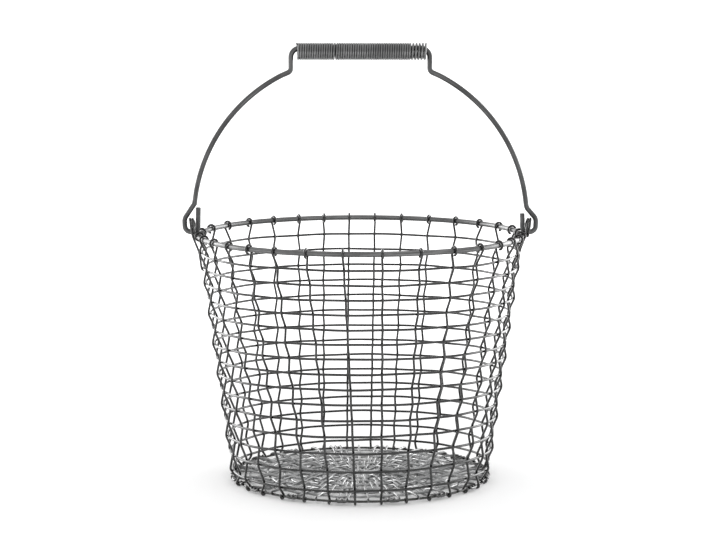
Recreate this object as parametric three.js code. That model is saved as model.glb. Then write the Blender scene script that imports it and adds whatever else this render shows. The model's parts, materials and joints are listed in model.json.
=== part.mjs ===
// A round wire basket with a swinging bail: uprights woven in and out of closed rows,
// a stout rim, a woven base that stands on the uprights' curled feet, and a wound wire grip.
// Millimetres. +Z is up, the bail's pivots lie along X, and the front faces -Y.
import * as THREE from 'three';

// Wire
const weaving_wire = 2.3;
const rim_wire = 5.3;
const bail_wire = 5.0;
const grip_wire = 2.0;

// Clearances between wires that touch
const weave_gap = 0.55;
const last_row_gap = 2.3;
const hook_gap = 0.3;
const spoke_gap = 1.1;
const hairpin_gap = 0.6;
const ear_gap = 0.3;
const bail_gap = 0.5;
const foot_gap = 0.25;
const floor_gap = 0.2;

// Basket
const rim_height = 248.6;
const rim_radius = 161.5;
const base_radius = 128.65;

// Uprights
const upright_count = 32;
const rim_drift_degrees = 2.2;
const rim_turn_degrees = 1.9;
const rim_ripple_degrees = 1.2;
const rim_lean_degrees = 0.7;
const base_turn_degrees = 2.0;
const base_drift_degrees = 1.4;
const hook_sweep_degrees = 282;
const hook_steps = 6;
const curl_steps = 4;
const curl_steps_to_floor = 2;
const rim_sides = 6;

// Rows
const row_count = 15;
const first_row_drop = 16.7;
const last_row_height = 13.2;
const wide_row_count = 3;
const row_widening = 0.75;
const row_climb = 6.4;
const row_climb_power = 1.3;
const row_slope = 2.0;

// Base
const inner_ring_count = 6;
const hub_share = 0.198;
const base_ring_sag = 0.85;
const spoke_spread = 2.3;
const spoke_hook_reach = 1.0;
const shallow_turn_share = 0.7;

// Bail: out and rise are measured from the middle of the eye at its end
const eye_bend = 6.2;
const eye_flat = 0.2;
const eye_gap = 0.35;
const eye_direction = 48.4;
const tip_out = -7.1;
const right_tip_rise = 12.4;
const left_tip_rise = 18.4;
const elbow_out = 7.0;
const elbow_rise = 7.0;
const elbow_bend = 8.0;
const neck_out = -2.3;
const right_neck_rise = 17.8;
const left_neck_rise = 21.0;
const neck_bend = 6.0;
const bow_spread = 1.1;
const bow_centre_offset = 4.7;
const bow_centre_rise = 5.9;
const bow_end_rise = 21.9;
const bow_steps = 8;
const knee_run = 10.0;
const knee_rise = 4.4;
const knee_bend = 5.0;
const shoulder_room = 4.3;
const shoulder_rise = 23.0;
const shoulder_bend = 9.0;
const bend_step = 30;
const bail_sides = 6;

// Grip
const grip_length = 130.0;
const grip_turns = 53;
const grip_radius = 9.0;
const grip_steps = 8;
const grip_sides = 5;
const grip_shift = 1.2;

// Ears
const ear_side_gap = 1.1;
const ear_rise = 16.6;
const ear_lean_slope = 0.18;
const ear_arch_steps = 5;
const ear_corner = 2.9;
const ear_hook_row = 2;
const ear_hook_sweep_degrees = 195;
const ear_hook_steps = 5;

const steel = { color: 0x8f9193, metalness: 1.0, roughness: 0.34 };
const worn_steel = { color: 0x76787b, metalness: 1.0, roughness: 0.42 };
const deg = Math.PI / 180;

// The radius to a flat and to a corner of a many-sided bar as heavy as the round wire
function flatRadius(diameter, sides) {
  return diameter / 2 * Math.sqrt(Math.PI / (sides * Math.tan(Math.PI / sides)));
}

function cornerRadius(diameter, sides) {
  return flatRadius(diameter, sides) / Math.cos(Math.PI / sides);
}

const wire_flat = flatRadius(weaving_wire, 4);
const wire_corner = cornerRadius(weaving_wire, 4);
const rim_corner = cornerRadius(rim_wire, rim_sides);
const bail_corner = cornerRadius(bail_wire, bail_sides);
const weave_offset = weaving_wire + weave_gap;
const last_row_offset = weaving_wire + last_row_gap;
const spoke_offset = weaving_wire + spoke_gap;
const ear_offset = weaving_wire + ear_gap;
const hook_radius = rim_wire / 2 + hook_gap + weaving_wire / 2;
const ear_hook_radius = hook_radius + ear_gap;
const step_angle = 360 / upright_count;
const spoke_pairs = upright_count / 2;

// The feet curl round the outer base ring; the inner rings sit a little higher, so that
// the lacing that passes under them stays off the floor
const foot_curl_radius = 2 * wire_corner + foot_gap;
const base_ring_height = foot_curl_radius + wire_flat;
const inner_ring_height = spoke_offset + wire_corner + floor_gap;

// The rows are evenly spaced, but for the last few, which stand a little further apart
const added_widening = row_widening * wide_row_count * (wide_row_count + 1) / 2;
const row_pitch = (rim_height - first_row_drop - last_row_height - added_widening) / (row_count - 1);

// The base's innermost ring is a share of its outer one
const base_ring_pitch = base_radius * (1 - hub_share) / inner_ring_count;

// Every second turn of the lacing goes deep, and these stand side by side round the middle
const hairpin_half_width = wire_flat + hairpin_gap / 2;
const deep_turn_room = hairpin_half_width + wire_corner + hairpin_gap / 2;
const deep_turn_radius = deep_turn_room / Math.sin(step_angle * deg * 2);

// The middle of the bail's right eye, up and out from the rim's wire
const eye_reach = rim_corner + eye_gap + bail_corner + eye_bend + eye_flat;
const eye_middle = rim_radius + eye_reach * Math.cos(eye_direction * deg);
const eye_height = rim_height + eye_reach * Math.sin(eye_direction * deg);

// The bail turns about a line just high enough for it to fold down onto the rim's hooks
const pivot_height = rim_height + hook_radius + wire_flat + bail_gap + bail_corner;

// The bail's outline from its bow up to the straight top that carries the grip
const bow_radius = rim_radius + bow_spread;
const bow_centre_height = eye_height + bow_centre_rise;
const shoulder_half_width = grip_length / 2 + shoulder_room;
const bow_top_reach = shoulder_half_width + knee_run - bow_centre_offset;
const knee_height = bow_centre_height + Math.sqrt(bow_radius ** 2 - bow_top_reach ** 2) + knee_rise;
const bail_top_height = knee_height + shoulder_rise;

// The grip hangs on the bail's straight top
const coil_radius = grip_radius - grip_wire / 2;
const coil_bore = coil_radius * Math.cos(Math.PI / grip_steps) - grip_wire / 2;
const grip_height = bail_top_height + bail_corner + hook_gap - coil_bore;

// The ear's loop clears the eye as the bail swings, and crosses under it
const eye_drop = pivot_height - (eye_height - eye_bend - eye_flat);
const ear_half_width = eye_drop + bail_corner + wire_flat + ear_side_gap;
const ear_height = rim_height + ear_rise;

// A polygon section that stands on one of its flats
function section(radius, sides) {
  const shape = new THREE.Shape();
  for (let i = 0; i < sides; i++) {
    const angle = 2 * Math.PI * (i + 0.5) / sides;
    const x = radius * Math.cos(angle);
    const y = radius * Math.sin(angle);
    if (i === 0) shape.moveTo(x, y);
    else shape.lineTo(x, y);
  }
  shape.closePath();
  return shape;
}

// A wire's course: straight runs between the points at which it bends
class Course extends THREE.Curve {
  constructor(points) {
    super();
    this.points = points;
  }

  getPointAt(share) {
    return this.points[Math.round(share * (this.points.length - 1))].clone();
  }

  getTangentAt(share) {
    const last = this.points.length - 1;
    const at = Math.round(share * last);
    const here = this.points[at];
    const tangent = new THREE.Vector3();
    if (at > 0) tangent.add(here.clone().sub(this.points[at - 1]).normalize());
    if (at < last) tangent.add(this.points[at + 1].clone().sub(here).normalize());
    return tangent.normalize();
  }
}

// A wire with two cut ends, bent along the points
function bentWire(points, radius, sides) {
  return new THREE.ExtrudeGeometry(section(radius, sides), {
    steps: points.length - 1,
    extrudePath: new Course(points),
  });
}

// A closed hoop about the Z axis with a corner at each point
function hoop(corners, radius, sides) {
  const positions = [];
  const indices = [];
  corners.forEach((corner, i) => {
    const out = new THREE.Vector3(corner.x, corner.y, 0).normalize();
    for (let side = 0; side < sides; side++) {
      const angle = 2 * Math.PI * (side + 0.5) / sides;
      const spot = corner.clone().addScaledVector(out, radius * Math.cos(angle));
      positions.push(spot.x, spot.y, spot.z + radius * Math.sin(angle));
      const next = (side + 1) % sides;
      const here = i * sides;
      const ahead = (i + 1) % corners.length * sides;
      indices.push(here + side, ahead + side, ahead + next);
      indices.push(here + side, ahead + next, here + next);
    }
  });
  const geometry = new THREE.BufferGeometry();
  geometry.setAttribute('position', new THREE.Float32BufferAttribute(positions, 3));
  geometry.setIndex(indices);
  geometry.computeVertexNormals();
  return geometry;
}

// A point round the basket: distance from the axis, degrees from the front towards +X, height
function around(distance, angle, height) {
  return new THREE.Vector3(distance * Math.sin(angle * deg), -distance * Math.cos(angle * deg), height);
}

// How far down the wall a height lies, from 0 at the rim to 1 at the base ring
function depthShare(height) {
  return (rim_height - height) / (rim_height - base_ring_height);
}

function wallRadius(height) {
  return rim_radius + (base_radius - rim_radius) * depthShare(height);
}

// Hand spacing: each upright stands a few degrees off its even place at the rim and at the base
function rimDrift(angle) {
  const a = angle * deg;
  return rim_drift_degrees * (Math.sin(a) + Math.sin(3 * a)) + rim_turn_degrees * Math.cos(a)
    - rim_ripple_degrees * Math.cos(3 * a) + rim_lean_degrees * Math.sin(2 * a);
}

function baseDrift(angle) {
  return base_turn_degrees + base_drift_degrees * Math.cos(angle * deg);
}

function uprightAngle(upright, height) {
  const even = (upright + 0.5) * step_angle;
  const share = depthShare(height);
  return even + (1 - share) * rimDrift(even) + share * baseDrift(even);
}

// Each row climbs towards the front, most at mid height, and slopes a little to one side
function rowMiddle(row) {
  const wide = Math.max(0, row - (row_count - wide_row_count));
  return rim_height - first_row_drop - row_pitch * (row - 1) - row_widening * wide * (wide + 1) / 2;
}

function rowHeight(row, angle) {
  const share = depthShare(rowMiddle(row));
  const climb = row_climb * Math.sin(Math.PI * share ** row_climb_power);
  const slope = row_slope * share ** 2;
  return rowMiddle(row) + climb * Math.cos(angle * deg) + slope * Math.sin(angle * deg);
}

// 1 where the upright passes outside the row, -1 where it passes inside; the rim is row 0
function weaveSide(upright, row) {
  return (upright + row) % 2 === 1 ? 1 : -1;
}

// An upright stands off the last row by more, because it bends sharply there to reach its foot
function crossingRadius(upright, row, height) {
  const offset = row === row_count ? last_row_offset : weave_offset;
  return wallRadius(height) + weaveSide(upright, row) * offset;
}

// Where a wire from a point first touches a round bar, in degrees round the bar; turn is 1 for anticlockwise
function touchAngle(from, centre, radius, turn) {
  const dx = from.x - centre.x;
  const dy = from.y - centre.y;
  return Math.atan2(dy, dx) / deg + turn * Math.acos(radius / Math.hypot(dx, dy)) / deg;
}

// The bends of a wire that comes from a point and wraps a round bar
function wrap(from, centre, radius, turn, step, steps) {
  const start = touchAngle(from, centre, radius, turn);
  const points = [];
  for (let i = 0; i < steps; i++) {
    const angle = (start + turn * step * (i + 0.5)) * deg;
    const reach = radius / Math.cos(step / 2 * deg);
    points.push(new THREE.Vector2(centre.x + reach * Math.cos(angle), centre.y + reach * Math.sin(angle)));
  }
  const end = (start + turn * step * steps) * deg;
  points.push(new THREE.Vector2(centre.x + radius * Math.cos(end), centre.y + radius * Math.sin(end)));
  return points;
}

// One upright, in a frame whose X points out from the basket's axis at the upright's place on the rim
function uprightPoints(upright) {
  const rimAngle = uprightAngle(upright, rim_height);
  const baseAngle = uprightAngle(upright, base_ring_height);
  const place = (distance, angle, height) => new THREE.Vector3(
    distance * Math.cos((angle - rimAngle) * deg),
    distance * Math.sin((angle - rimAngle) * deg),
    height,
  );
  const crossings = [];
  for (let row = 1; row <= row_count; row++) {
    const angle = uprightAngle(upright, rowMiddle(row));
    const height = rowHeight(row, angle);
    const distance = crossingRadius(upright, row, height);
    crossings.push({ distance, angle, height });
  }
  const top = new THREE.Vector2(crossings[0].distance, crossings[0].height);
  const rim = new THREE.Vector2(rim_radius, rim_height);
  const hookStep = hook_sweep_degrees / hook_steps;
  const hook = wrap(top, rim, hook_radius, weaveSide(upright, 0), hookStep, hook_steps);
  const bottom = new THREE.Vector2(crossings[row_count - 1].distance, crossings[row_count - 1].height);
  const ring = new THREE.Vector2(base_radius, base_ring_height);
  const turn = -weaveSide(upright, row_count + 1);
  const toFloor = turn * (-90 - touchAngle(bottom, ring, foot_curl_radius, turn));
  const curlStep = (toFloor % 360 + 360) % 360 / curl_steps_to_floor;
  const curl = wrap(bottom, ring, foot_curl_radius, turn, curlStep, curl_steps);
  return [
    ...hook.reverse().map((spot) => place(spot.x, rimAngle, spot.y)),
    ...crossings.map(({ distance, angle, height }) => place(distance, angle, height)),
    ...curl.map((spot) => place(spot.x, baseAngle, spot.y)),
  ];
}

function addUprights(basket) {
  for (let upright = 0; upright < upright_count; upright++) {
    const name = 'upright_' + String(upright + 1).padStart(2, '0');
    const mesh = part(name, bentWire(uprightPoints(upright), wire_corner, 4), steel);
    mesh.rotation.z = (uprightAngle(upright, rim_height) - 90) * deg;
    basket.add(mesh);
  }
}

// The rim has a corner at each upright and at each ear
function addRim(basket) {
  const angles = [90, 270];
  for (let upright = 0; upright < upright_count; upright++) angles.push(uprightAngle(upright, rim_height));
  angles.sort((a, b) => a - b);
  const corners = angles.map((angle) => around(rim_radius, angle, rim_height));
  basket.add(part('rim', hoop(corners, rim_corner, rim_sides), steel));
}

function addRows(basket) {
  for (let row = 1; row <= row_count; row++) {
    const corners = [];
    for (let upright = 0; upright < upright_count; upright++) {
      const angle = uprightAngle(upright, rowMiddle(row));
      const height = rowHeight(row, angle);
      corners.push(around(wallRadius(height), angle, height));
    }
    const name = 'row_' + String(row).padStart(2, '0');
    basket.add(part(name, hoop(corners, wire_corner, 4), steel));
  }
}

function baseRingRadius(ring) {
  return base_radius - base_ring_pitch * ring;
}

// The outer base ring has a corner at each upright's foot; the inner rings have corners evenly spaced
function addBaseRings(basket) {
  for (let ring = 0; ring <= inner_ring_count; ring++) {
    const radius = baseRingRadius(ring);
    const count = ring === 0 ? upright_count : Math.ceil(Math.PI / Math.acos(1 - base_ring_sag / radius));
    const corners = [];
    for (let i = 0; i < count; i++) {
      const angle = ring === 0 ? uprightAngle(i, base_ring_height) : 360 * i / count;
      corners.push(around(radius, angle, ring === 0 ? base_ring_height : inner_ring_height));
    }
    const name = ring === 0 ? 'base_outer_ring' : 'base_ring_' + ring;
    basket.add(part(name, hoop(corners, wire_corner, 4), steel));
  }
}

// One long wire laced in and out across the base: it hooks over the outer ring between
// two feet, and turns back within the innermost ring, where its two runs draw together
function spokePoints() {
  const points = [];
  const innermost = baseRingRadius(inner_ring_count);
  const evenSpread = step_angle / 2;
  const spokeAngle = (spoke, radius) => {
    const pair = Math.floor(spoke / 2);
    const near = uprightAngle(2 * pair, base_ring_height);
    const far = uprightAngle(2 * pair + 1, base_ring_height);
    const inward = Math.min(1, (base_radius - radius) / (base_radius - innermost));
    const fanned = spoke_spread + (evenSpread - spoke_spread) * Math.max(0, inward);
    const spread = Math.min(fanned, step_angle - Math.asin(hairpin_half_width / radius) / deg);
    return (near + far) / 2 + (spoke % 2 === 0 ? -spread : spread);
  };
  for (let spoke = 0; spoke < 2 * spoke_pairs; spoke++) {
    const course = [];
    const hairpin = Math.floor((spoke + 1) / 2);
    const turnRadius = hairpin % 2 === 0 ? deep_turn_radius : innermost * shallow_turn_share;
    course.push(around(turnRadius, spokeAngle(spoke, turnRadius), inner_ring_height));
    for (let ring = inner_ring_count; ring >= 1; ring--) {
      const radius = baseRingRadius(ring);
      const side = (spoke + ring) % 2 === 0 ? 1 : -1;
      course.push(around(radius, spokeAngle(spoke, radius), inner_ring_height + side * spoke_offset));
    }
    const over = base_radius + spoke_hook_reach;
    course.push(around(over, spokeAngle(spoke, over), base_ring_height + spoke_offset));
    const outside = base_radius + spoke_offset;
    course.push(around(outside, spokeAngle(spoke, outside), base_ring_height));
    points.push(...(spoke % 2 === 0 ? course : course.reverse()));
  }
  return points;
}

function addSpokes(basket) {
  basket.add(part('base_spokes', bentWire(spokePoints(), wire_corner, 4), steel));
}

// A line through the corners with each corner rounded to its bend radius
function rounded(corners, step) {
  const points = [];
  corners.forEach((corner, i) => {
    if (!corner.bend) {
      points.push(new THREE.Vector2(corner.x, corner.y));
      return;
    }
    const back = new THREE.Vector2(corners[i - 1].x - corner.x, corners[i - 1].y - corner.y).normalize();
    const on = new THREE.Vector2(corners[i + 1].x - corner.x, corners[i + 1].y - corner.y).normalize();
    const half = Math.acos(THREE.MathUtils.clamp(back.dot(on), -1, 1)) / 2;
    const turn = Math.PI - 2 * half;
    const steps = Math.max(1, Math.round(turn / deg / step));
    const towards = back.clone().add(on).normalize();
    const at = new THREE.Vector2(corner.x, corner.y);
    const centre = at.clone().addScaledVector(towards, corner.bend / Math.sin(half));
    const start = at.clone().addScaledVector(back, corner.bend / Math.tan(half));
    const spoke = start.sub(centre);
    const way = Math.sign(back.y * on.x - back.x * on.y);
    for (let j = 0; j <= steps; j++) {
      points.push(spoke.clone().rotateAround(new THREE.Vector2(), way * turn * j / steps).add(centre));
    }
  });
  return points;
}

// One half of the bail, from the middle of its top to the tip of its eye
function bailHalf(neckRise, tipRise) {
  const corners = [
    { x: 0, y: bail_top_height },
    { x: shoulder_half_width, y: bail_top_height, bend: shoulder_bend },
    { x: shoulder_half_width, y: knee_height, bend: knee_bend },
  ];
  const top = Math.acos(bow_top_reach / bow_radius);
  const bottom = Math.asin((bow_end_rise - bow_centre_rise) / bow_radius);
  for (let i = 0; i <= bow_steps; i++) {
    const angle = top + (bottom - top) * i / bow_steps;
    corners.push({
      x: bow_centre_offset + bow_radius * Math.cos(angle),
      y: bow_centre_height + bow_radius * Math.sin(angle),
    });
  }
  const eye_half_width = eye_bend + eye_flat;
  corners.push(
    { x: eye_middle + neck_out, y: eye_height + neckRise, bend: neck_bend },
    { x: eye_middle + elbow_out, y: eye_height + elbow_rise, bend: elbow_bend },
    { x: eye_middle + eye_half_width, y: eye_height - eye_half_width, bend: eye_bend },
    { x: eye_middle - eye_half_width, y: eye_height - eye_half_width, bend: eye_bend },
    { x: eye_middle + tip_out, y: eye_height + tipRise },
  );
  return rounded(corners, bend_step);
}

function bailGeometry() {
  const right = bailHalf(right_neck_rise, right_tip_rise).slice(1);
  const left = bailHalf(left_neck_rise, left_tip_rise).slice(1).reverse();
  const points = [
    ...left.map((spot) => new THREE.Vector3(-spot.x, 0, spot.y)),
    ...right.map((spot) => new THREE.Vector3(spot.x, 0, spot.y)),
  ];
  return bentWire(points, bail_corner, bail_sides);
}

// The grip is a close coil of wire, loose enough on the bail to turn
function gripPoints() {
  const points = [];
  const steps = grip_turns * grip_steps;
  const span = grip_length - grip_wire;
  for (let i = 0; i <= steps; i++) {
    const angle = 2 * Math.PI * i / grip_steps;
    points.push(new THREE.Vector3(
      grip_shift + span * (i / steps - 0.5),
      coil_radius * Math.sin(angle),
      grip_height + coil_radius * Math.cos(angle),
    ));
  }
  return points;
}

// The least gap between one turn of a coil and the next, on points along its runs
function leastGap(points, wire, stepsPerTurn) {
  const dense = [];
  for (let i = 1; i < points.length; i++) {
    for (const share of [0, 0.25, 0.5, 0.75]) dense.push(points[i - 1].clone().lerp(points[i], share));
  }
  const turn = 4 * stepsPerTurn;
  let least = Infinity;
  for (let i = 0; i < dense.length; i++) {
    for (let j = i + turn / 2; j < Math.min(dense.length, i + 2 * turn); j++) {
      least = Math.min(least, dense[i].distanceTo(dense[j]) - wire);
    }
  }
  return least;
}

// One ear: a wire looped twice through the bail's eye. x runs out from the basket's axis,
// y along the rim, and the ear is turned half round for the other side.
function earPoints(side) {
  const outer = rim_radius + ear_hook_radius;
  const across = (radius) => Math.sqrt(radius ** 2 - ear_half_width ** 2);
  const arch = ear_height - ear_half_width;
  const underEye = bail_corner + wire_corner + eye_bend + eye_flat;
  const fromEye = eye_middle - across(outer) - ear_offset;
  const back = eye_height - Math.sqrt(underEye ** 2 - fromEye ** 2);
  const lean = (height) => ear_lean_slope * Math.max(0, height - rim_height);
  const spot = (turn, y, height) => {
    const x = across(outer) + ear_offset * turn + lean(height);
    return new THREE.Vector3(x, y, height);
  };
  const hookStep = ear_hook_sweep_degrees / ear_hook_steps;
  const start = new THREE.Vector2(across(outer), ear_height);
  const rim = new THREE.Vector2(across(rim_radius), rim_height);
  const rimHook = wrap(start, rim, ear_hook_radius, -1, hookStep, ear_hook_steps);
  const points = rimHook.reverse().map((at) => new THREE.Vector3(at.x, -ear_half_width, at.y));
  for (let turn = 0; turn < 2; turn++) {
    for (let i = 0; i <= ear_arch_steps; i++) {
      const angle = Math.PI * (1 - i / ear_arch_steps);
      points.push(spot(turn, ear_half_width * Math.cos(angle), arch + ear_half_width * Math.sin(angle)));
    }
    if (turn === 0) {
      points.push(spot(0, ear_half_width, back + ear_corner));
      points.push(spot(0, ear_half_width - ear_corner, back));
      points.push(spot(1, ear_corner - ear_half_width, back));
      points.push(spot(1, -ear_half_width, back + ear_corner));
    }
  }
  points.push(spot(1, ear_half_width, rim_height));
  const legAngle = Math.atan2(ear_half_width, across(outer)) / deg;
  const atAngle = side > 0 ? 90 + legAngle : legAngle - 90;
  const firstRow = rowHeight(1, atAngle);
  const hookRow = rowHeight(ear_hook_row, atAngle);
  const above = new THREE.Vector2(across(wallRadius(firstRow) + weave_offset), firstRow);
  points.push(new THREE.Vector3(above.x, ear_half_width, above.y));
  const bar = new THREE.Vector2(across(wallRadius(hookRow)), hookRow);
  const rowHook = wrap(above, bar, weave_offset + ear_gap, -1, hookStep, ear_hook_steps);
  points.push(...rowHook.map((at) => new THREE.Vector3(at.x, ear_half_width, at.y)));
  return points;
}

function addEars(basket) {
  for (const [name, side] of [['ear_right', 1], ['ear_left', -1]]) {
    const mesh = part(name, bentWire(earPoints(side), wire_corner, 4), steel);
    mesh.rotation.z = side > 0 ? 0 : Math.PI;
    basket.add(mesh);
  }
}

function part(name, geometry, finish) {
  const mesh = new THREE.Mesh(geometry, new THREE.MeshStandardMaterial(finish));
  mesh.name = name;
  return mesh;
}

const basket = new THREE.Group();
addUprights(basket);
addRows(basket);
addRim(basket);
addBaseRings(basket);
addSpokes(basket);
addEars(basket);

const bail = new THREE.Group();
bail.add(part('bail', bailGeometry(), worn_steel));
bail.add(part('grip', bentWire(gripPoints(), grip_wire / 2, grip_sides), worn_steel));

const grip_gap = leastGap(gripPoints(), grip_wire, grip_steps);
console.log('grip coil, least gap to itself: ' + grip_gap.toFixed(2) + ' mm');
console.log('bail pivot height: ' + pivot_height.toFixed(2) + ' mm');
console.log('grip axis height: ' + grip_height.toFixed(2) + ' mm');

const model = new THREE.Group();
model.add(basket, bail);
export default model;
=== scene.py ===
"""Looks of the woven wire basket: round drawn wire in place of each many-sided bar,
bare steel finishes, a pale floor with soft studio light, and the photograph's viewpoint.
Metres, +Z up, the bail's pivots along X, the front facing -Y."""

import json
import math

import bpy
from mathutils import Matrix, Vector

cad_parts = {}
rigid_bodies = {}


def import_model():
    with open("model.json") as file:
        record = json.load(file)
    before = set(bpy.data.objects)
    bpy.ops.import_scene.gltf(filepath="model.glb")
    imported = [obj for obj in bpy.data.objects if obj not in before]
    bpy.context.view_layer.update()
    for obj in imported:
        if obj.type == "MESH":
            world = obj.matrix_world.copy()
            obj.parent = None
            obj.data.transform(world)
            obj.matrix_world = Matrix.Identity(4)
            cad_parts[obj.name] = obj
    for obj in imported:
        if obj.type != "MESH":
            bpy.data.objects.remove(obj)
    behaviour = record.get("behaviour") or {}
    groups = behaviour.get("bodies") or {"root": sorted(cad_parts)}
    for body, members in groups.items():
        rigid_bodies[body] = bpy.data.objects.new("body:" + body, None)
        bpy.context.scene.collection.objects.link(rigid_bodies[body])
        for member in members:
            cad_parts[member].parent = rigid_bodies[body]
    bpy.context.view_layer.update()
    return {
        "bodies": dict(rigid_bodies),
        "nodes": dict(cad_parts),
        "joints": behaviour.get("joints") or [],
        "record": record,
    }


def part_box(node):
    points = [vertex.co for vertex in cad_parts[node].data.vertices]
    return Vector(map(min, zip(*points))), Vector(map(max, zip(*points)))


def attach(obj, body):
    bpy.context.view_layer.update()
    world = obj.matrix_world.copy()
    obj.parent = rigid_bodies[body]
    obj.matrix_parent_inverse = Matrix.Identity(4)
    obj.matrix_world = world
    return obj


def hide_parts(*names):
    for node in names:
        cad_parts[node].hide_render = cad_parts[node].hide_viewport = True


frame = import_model()

MM = 0.001

# Wire
WEAVING_WIRE = 2.4 * MM
RIM_WIRE = 5.3 * MM
BAIL_WIRE = 5.2 * MM
GRIP_WIRE = 2.25 * MM

# Basket
RIM_HEIGHT = 248.6 * MM
RIM_RADIUS = 161.5 * MM
BASE_RADIUS = 128.65 * MM
BASE_RING_HEIGHT = 3.75 * MM
INNER_RING_HEIGHT = 4.7 * MM
UPRIGHT_COUNT = 32
WEAVE_OFFSET = 2.55 * MM
LAST_ROW_OFFSET = 3.1 * MM
HOOK_RADIUS = 4.1 * MM
HOOK_SWEEP = 282
HOOK_STEPS = 6
FOOT_CURL_RADIUS = 2.43 * MM
FOOT_CURL_STEPS = 4
FOOT_CURL_STEPS_TO_FLOOR = 2

# Hand spacing of the uprights, in degrees
RIM_DRIFT = 2.2
RIM_TURN = 1.9
RIM_RIPPLE = 1.2
RIM_LEAN = 0.7
BASE_TURN = 2.0
BASE_DRIFT = 1.4

# Rows
ROW_COUNT = 15
FIRST_ROW_DROP = 16.7 * MM
ROW_PITCH = 15.3 * MM
WIDE_ROW_COUNT = 3
ROW_WIDENING = 0.75 * MM
ROW_CLIMB = 6.4 * MM
ROW_CLIMB_SKEW = 1.3
ROW_SLOPE = 2.0 * MM
ROW_WAVE = 0.25 * MM
ROW_WANDER = 0.5 * MM

# Base
BASE_RING_PITCH = 17.2 * MM
INNER_RING_COUNT = 6
SPOKE_PAIRS = UPRIGHT_COUNT // 2
SPOKE_SPREAD = 2.3
SPOKE_OFFSET = 2.55 * MM
SPOKE_HOOK_REACH = 1.0 * MM
HAIRPIN_HALF_WIDTH = 1.32 * MM
DEEP_TURN_RADIUS = 8.0 * MM
SHALLOW_TURN_DEPTH = 7.64 * MM
BETWEEN_RING_COUNT = 5
RING_WANDER = 1.3 * MM
RING_WAVE = 0.35 * MM

# Bail: out and rise are measured from the middle of the eye at its end
EYE_MIDDLE = 169.74 * MM
EYE_HEIGHT = 257.88 * MM
EYE_HALF_WIDTH = 6.4 * MM
EYE_BEND = 6.2 * MM
TIP_OUT = -7.1 * MM
RIGHT_TIP_RISE = 12.4 * MM
LEFT_TIP_RISE = 18.4 * MM
ELBOW_OUT = 7.0 * MM
ELBOW_RISE = 7.0 * MM
ELBOW_BEND = 8.0 * MM
NECK_OUT = -2.3 * MM
RIGHT_NECK_RISE = 17.8 * MM
LEFT_NECK_RISE = 21.0 * MM
NECK_BEND = 6.0 * MM
BOW_RADIUS = 162.6 * MM
BOW_CENTRE_OFFSET = 4.7 * MM
BOW_CENTRE_RISE = 5.9 * MM
BOW_END_RISE = 21.9 * MM
BOW_STEPS = 40
KNEE_RUN = 10.0 * MM
KNEE_RISE = 4.4 * MM
KNEE_BEND = 5.0 * MM
SHOULDER_HALF_WIDTH = 69.3 * MM
SHOULDER_RISE = 23.0 * MM
SHOULDER_BEND = 9.0 * MM

# Grip
GRIP_LENGTH = 131.0 * MM
GRIP_TURNS = 53
GRIP_RADIUS = 8.95 * MM
GRIP_DROP = 3.34 * MM
GRIP_STEPS = 28
GRIP_LOOSE_TURNS = 5
GRIP_LOOSE_SHARE = 0.35
GRIP_GAP_TURN = 15.5
GRIP_GAP = 0.7 * MM
GRIP_SHIFT = 1.2 * MM

# Ears
EAR_HALF_WIDTH = 10.35 * MM
EAR_HEIGHT = 265.2 * MM
EAR_RETURN_HEIGHT = 247.4 * MM
EAR_OFFSET = 2.5 * MM
EAR_LEAN = 0.18
EAR_CORNER = 2.9 * MM
EAR_ARCH_STEPS = 8
EAR_HOOK_RADIUS = 4.4 * MM
EAR_HOOK_ROW = 2
EAR_HOOK_SWEEP = 195
EAR_HOOK_STEPS = 5

# Light that the world casts; with the lamps it comes to about 1, which shows a colour as it is written
WORLD_LEVEL = 0.88

# The clear film on the bare steel, which gives it gloss at glancing angles
FILM_IOR = 1.6
FILM_ROUGHNESS = 0.08

# Relief of the drawing lines and the specks
RELIEF_STRENGTH = 0.5
RELIEF_DEPTH = 0.05 * MM

# How bright each wire's steel is, from 0 to 1, where it is clean, where it has gone dull and elsewhere
# The wall's wire is painted near black: painted shade standing in for dark surroundings reflected in it
WOVEN_BRIGHT_PAINTED_DARK = 0.06
WOVEN_DULL_PAINTED_DARK = 0.007
# The base's wire is the same steel painted pale: painted light from above
BASE_BRIGHT_PAINTED_LIT = 0.54
BASE_DULL_PAINTED_LIT = 0.14
BASE_EDGE = 0.05
RIM_BRIGHT = 0.20
RIM_DULL = 0.07
BAIL_BRIGHT = 0.14
BAIL_DULL = 0.06
GRIP_BRIGHT = 0.215
GRIP_DULL = 0.09
# The grip's underside is painted pale: painted light from below, and wear where fingers close under it
GRIP_UNDERLIGHT_AND_WEAR = 0.42
GRIP_INSIDE = 0.09

# The steel's green and blue against its red
STEEL_GREEN = 1.008
STEEL_BLUE = 1.016

# Noise values between which the drawing lines, the dull patches and the specks come up
LINE_EDGES = (0.32, 0.68)
PATCH_EDGES = (0.38, 0.66)
SPECK_EDGES = (0.55, 0.72)

# Dust on the foot of the wall
DUST_HEIGHT = 30 * MM
DUST_COLOR = (0.07, 0.068, 0.064, 1)
DUST_SHARE = 0.45

# Where the bail and the grip are rubbed, and how much of the rubbed colour shows there; the grip's paler
# underside is painted light from below as well as wear
BAIL_RUBBED_BELOW = 253 * MM
BAIL_CLEAN_ABOVE = 262 * MM
BAIL_RUBBED_SHARE = 0.7
GRIP_RUBBED_DEPTH = 1.1 * MM
GRIP_UNDERLIGHT_AND_WEAR_SHARE = 0.6
GRIP_UNDERLIGHT_AND_WEAR_TOP = -0.2 * GRIP_RADIUS

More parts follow.
